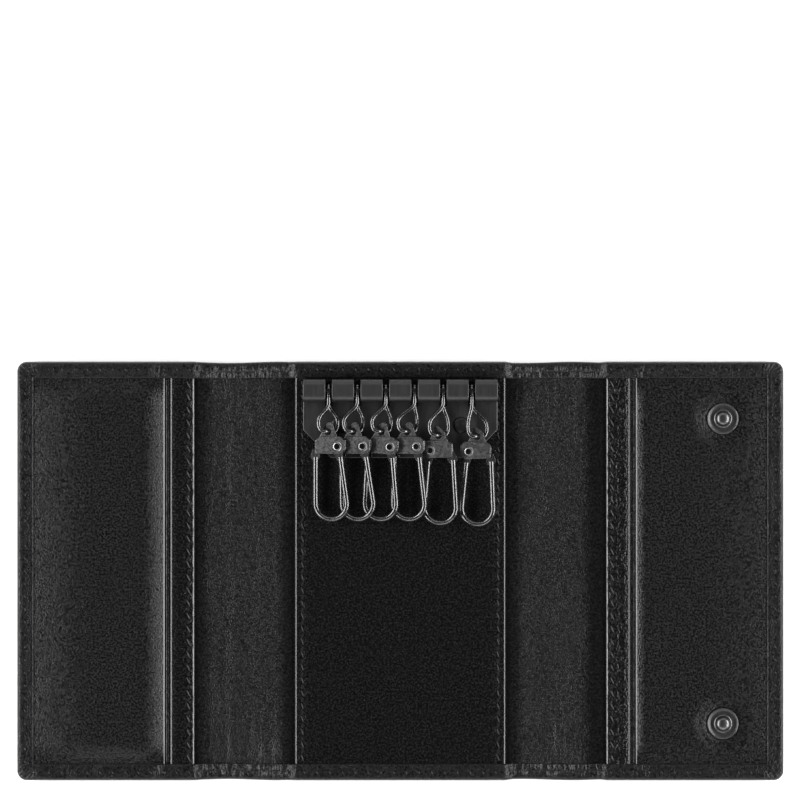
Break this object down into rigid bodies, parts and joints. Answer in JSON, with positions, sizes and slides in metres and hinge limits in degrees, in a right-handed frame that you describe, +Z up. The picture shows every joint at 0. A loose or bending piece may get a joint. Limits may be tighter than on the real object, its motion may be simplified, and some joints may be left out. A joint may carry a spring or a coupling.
{
  "type": "key case",
  "caption": "Folding leather key case opened flat, with hinged flaps, flat pockets, snap studs and a riveted plate that carries a row of swinging key hooks.",
  "frame": {"origin": "middle of the bounding box, on the ground under the opened case", "axes": "+X across the opened case to the flap with the studs, +Y to the edge that carries the hook plate, +Z up out of the inner face"},
  "size_m": [0.2012, 0.11, 0.0095],
  "materials": {
    "cover_leather": "smooth black leather with fine creases",
    "lining_leather": "smooth black leather",
    "panel_leather": "smooth black leather, satin",
    "plate_metal": "dark satin plating",
    "rivet_metal": "gloss black",
    "snap_metal": "dark satin plating",
    "hook_metal": "polished dark nickel"
  },
  "bodies": {
    "centre": {"outer_cover_centre": "cover_leather", "centre_lining": "lining_leather", "centre_panel": "panel_leather", "hook_plate": "plate_metal", "hook_rod": "plate_metal", "left_plate_rivet": "rivet_metal", "right_plate_rivet": "rivet_metal"},
    "left_spine": {"outer_cover_left_spine": "cover_leather", "left_spine_gusset": "lining_leather"},
    "left_flap": {"outer_cover_left_flap": "cover_leather", "left_flap_lining": "lining_leather", "left_pocket_panel": "panel_leather", "left_pocket_binding": "panel_leather", "upper_snap_socket": "snap_metal", "upper_socket_eyelet": "snap_metal", "lower_snap_socket": "snap_metal", "lower_socket_eyelet": "snap_metal"},
    "right_spine": {"outer_cover_right_spine": "cover_leather", "right_spine_gusset": "lining_leather"},
    "right_flap": {"outer_cover_right_flap": "cover_leather", "right_flap_lining": "lining_leather", "right_pocket_panel": "panel_leather", "right_pocket_binding": "panel_leather", "upper_snap_stud": "snap_metal", "upper_snap_cap": "snap_metal", "lower_snap_stud": "snap_metal", "lower_snap_cap": "snap_metal"},
    "hook_1_link": {"hook_1_link": "hook_metal"},
    "hook_1_housing": {"hook_1_housing": "hook_metal", "hook_1_rivet": "hook_metal"},
    "hook_1_loop": {"hook_1_loop": "hook_metal"},
    "hook_2_link": {"hook_2_link": "hook_metal"},
    "hook_2_housing": {"hook_2_housing": "hook_metal", "hook_2_rivet": "hook_metal"},
    "hook_2_loop": {"hook_2_loop": "hook_metal"},
    "hook_3_link": {"hook_3_link": "hook_metal"},
    "hook_3_housing": {"hook_3_housing": "hook_metal", "hook_3_rivet": "hook_metal"},
    "hook_3_loop": {"hook_3_loop": "hook_metal"},
    "hook_4_link": {"hook_4_link": "hook_metal"},
    "hook_4_housing": {"hook_4_housing": "hook_metal", "hook_4_rivet": "hook_metal"},
    "hook_4_loop": {"hook_4_loop": "hook_metal"},
    "hook_5_link": {"hook_5_link": "hook_metal"},
    "hook_5_housing": {"hook_5_housing": "hook_metal", "hook_5_rivet": "hook_metal"},
    "hook_5_loop": {"hook_5_loop": "hook_metal"},
    "hook_6_link": {"hook_6_link": "hook_metal"},
    "hook_6_housing": {"hook_6_housing": "hook_metal", "hook_6_rivet": "hook_metal"},
    "hook_6_loop": {"hook_6_loop": "hook_metal"}
  },
  "joints": [
    {"name": "left_fold", "type": "hinge", "parent": "centre", "child": "left_spine", "pos_m": [-0.032, 0, 0.0043], "axis": [0, 1, 0], "range_deg": [0, 90]},
    {"name": "left_flap_fold", "type": "hinge", "parent": "left_spine", "child": "left_flap", "pos_m": [-0.046, 0, 0.0043], "axis": [0, 1, 0], "range_deg": [0, 90]},
    {"name": "right_fold", "type": "hinge", "parent": "centre", "child": "right_spine", "pos_m": [0.0315, 0, 0.0043], "axis": [0, -1, 0], "range_deg": [0, 90]},
    {"name": "right_flap_fold", "type": "hinge", "parent": "right_spine", "child": "right_flap", "pos_m": [0.0508, 0, 0.0043], "axis": [0, -1, 0], "range_deg": [0, 90]},
    {"name": "hook_1_swing", "type": "hinge", "parent": "centre", "child": "hook_1_link", "pos_m": [-0.01875, 0.04735, 0.0067], "axis": [1, 0, 0], "range_deg": [-150, 0]},
    {"name": "hook_1_sway", "type": "hinge", "parent": "hook_1_link", "child": "hook_1_housing", "pos_m": [-0.0189, 0.0366, 0.0078], "axis": [-0.2419, -0.0423, 0.9694], "range_deg": [-3, 3]},
    {"name": "hook_1_opening", "type": "hinge", "parent": "hook_1_housing", "child": "hook_1_loop", "pos_m": [-0.01647, 0.03278, 0.00824], "axis": [-0.2419, -0.0423, 0.9694], "range_deg": [0, 24]},
    {"name": "hook_2_swing", "type": "hinge", "parent": "centre", "child": "hook_2_link", "pos_m": [-0.01125, 0.04735, 0.0067], "axis": [1, 0, 0], "range_deg": [-150, 0]},
    {"name": "hook_2_sway", "type": "hinge", "parent": "hook_2_link", "child": "hook_2_housing", "pos_m": [-0.0123, 0.0366, 0.0078], "axis": [-0.2419, -0.0423, 0.9694], "range_deg": [-3, 3]},
    {"name": "hook_2_opening", "type": "hinge", "parent": "hook_2_housing", "child": "hook_2_loop", "pos_m": [-0.00981, 0.03282, 0.00826], "axis": [-0.2419, -0.0423, 0.9694], "range_deg": [0, 24]},
    {"name": "hook_3_swing", "type": "hinge", "parent": "centre", "child": "hook_3_link", "pos_m": [-0.00375, 0.04735, 0.0067], "axis": [1, 0, 0], "range_deg": [-150, 0]},
    {"name": "hook_3_sway", "type": "hinge", "parent": "hook_3_link", "child": "hook_3_housing", "pos_m": [-0.0049, 0.0366, 0.0078], "axis": [-0.2419, -0.0423, 0.9694], "range_deg": [-3, 3]},
    {"name": "hook_3_opening", "type": "hinge", "parent": "hook_3_housing", "child": "hook_3_loop", "pos_m": [-0.0027, 0.03263, 0.00817], "axis": [-0.2419, -0.0423, 0.9694], "range_deg": [0, 24]},
    {"name": "hook_4_swing", "type": "hinge", "parent": "centre", "child": "hook_4_link", "pos_m": [0.00375, 0.04735, 0.0067], "axis": [1, 0, 0], "range_deg": [-150, 0]},
    {"name": "hook_4_sway", "type": "hinge", "parent": "hook_4_link", "child": "hook_4_housing", "pos_m": [0.0019, 0.0366, 0.0078], "axis": [-0.2419, -0.0423, 0.9694], "range_deg": [-3, 3]},
    {"name": "hook_4_opening", "type": "hinge", "parent": "hook_4_housing", "child": "hook_4_loop", "pos_m": [0.00423, 0.03271, 0.00821], "axis": [-0.2419, -0.0423, 0.9694], "range_deg": [0, 24]},
    {"name": "hook_5_swing", "type": "hinge", "parent": "centre", "child": "hook_5_link", "pos_m": [0.01125, 0.04735, 0.0067], "axis": [1, 0, 0], "range_deg": [-150, 0]},
    {"name": "hook_5_sway", "type": "hinge", "parent": "hook_5_link", "child": "hook_5_housing", "pos_m": [0.0101, 0.0356, 0.0078], "axis": [-0.2419, -0.0423, 0.9694], "range_deg": [-3, 3]},
    {"name": "hook_5_opening", "type": "hinge", "parent": "hook_5_housing", "child": "hook_5_loop", "pos_m": [0.0079, 0.03168, 0.00708], "axis": [0.2419, 0.0423, -0.9694], "range_deg": [0, 12]},
    {"name": "hook_6_swing", "type": "hinge", "parent": "centre", "child": "hook_6_link", "pos_m": [0.01875, 0.04735, 0.0067], "axis": [1, 0, 0], "range_deg": [-150, 0]},
    {"name": "hook_6_sway", "type": "hinge", "parent": "hook_6_link", "child": "hook_6_housing", "pos_m": [0.0202, 0.0353, 0.0078], "axis": [-0.2419, -0.0423, 0.9694], "range_deg": [-3, 3]},
    {"name": "hook_6_opening", "type": "hinge", "parent": "hook_6_housing", "child": "hook_6_loop", "pos_m": [0.01794, 0.03142, 0.00707], "axis": [0.2419, 0.0423, -0.9694], "range_deg": [0, 12]}
  ],
  "couplings": [
    {"joint": "left_flap_fold", "follows": "left_fold", "ratio": 1},
    {"joint": "right_flap_fold", "follows": "right_fold", "ratio": 1},
    {"joint": "hook_2_swing", "follows": "hook_1_swing", "ratio": 1},
    {"joint": "hook_3_swing", "follows": "hook_1_swing", "ratio": 1},
    {"joint": "hook_4_swing", "follows": "hook_1_swing", "ratio": 1},
    {"joint": "hook_5_swing", "follows": "hook_1_swing", "ratio": 1},
    {"joint": "hook_6_swing", "follows": "hook_1_swing", "ratio": 1}
  ]
}
